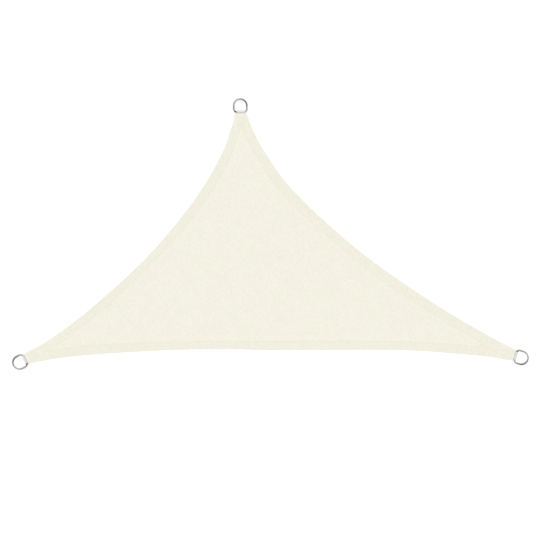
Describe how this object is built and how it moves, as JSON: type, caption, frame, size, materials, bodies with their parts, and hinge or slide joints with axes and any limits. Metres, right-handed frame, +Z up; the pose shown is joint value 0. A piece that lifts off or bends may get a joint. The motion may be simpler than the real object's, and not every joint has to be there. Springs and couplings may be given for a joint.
{
  "type": "triangular shade sail",
  "caption": "Triangular shade sail of knitted cloth with inward-bowed hemmed edges and a steel D-ring held in a webbing loop at each corner, laid flat.",
  "frame": {"origin": "on the ground under the middle of the laid-out sail, at the bottom centre of its bounding box", "axes": "+X along the longest edge, from the left corner to the right one; +Y from that edge to the top corner; +Z up out of the cloth's face, away from the ground"},
  "size_m": [2.8402, 1.4924, 0.0126],
  "materials": {
    "sail_cloth": "cream knitted polyethylene shade cloth, matt, one layer in the panel and denser in the hem",
    "webbing": "white woven polyester webbing",
    "ring_steel": "polished stainless steel wire"
  },
  "bodies": {
    "root": {"sail_cloth": "sail_cloth", "webbing_loop_top": "webbing", "webbing_loop_right": "webbing", "webbing_loop_left": "webbing", "d_ring_top": "ring_steel", "d_ring_right": "ring_steel", "d_ring_left": "ring_steel"}
  },
  "joints": []
}
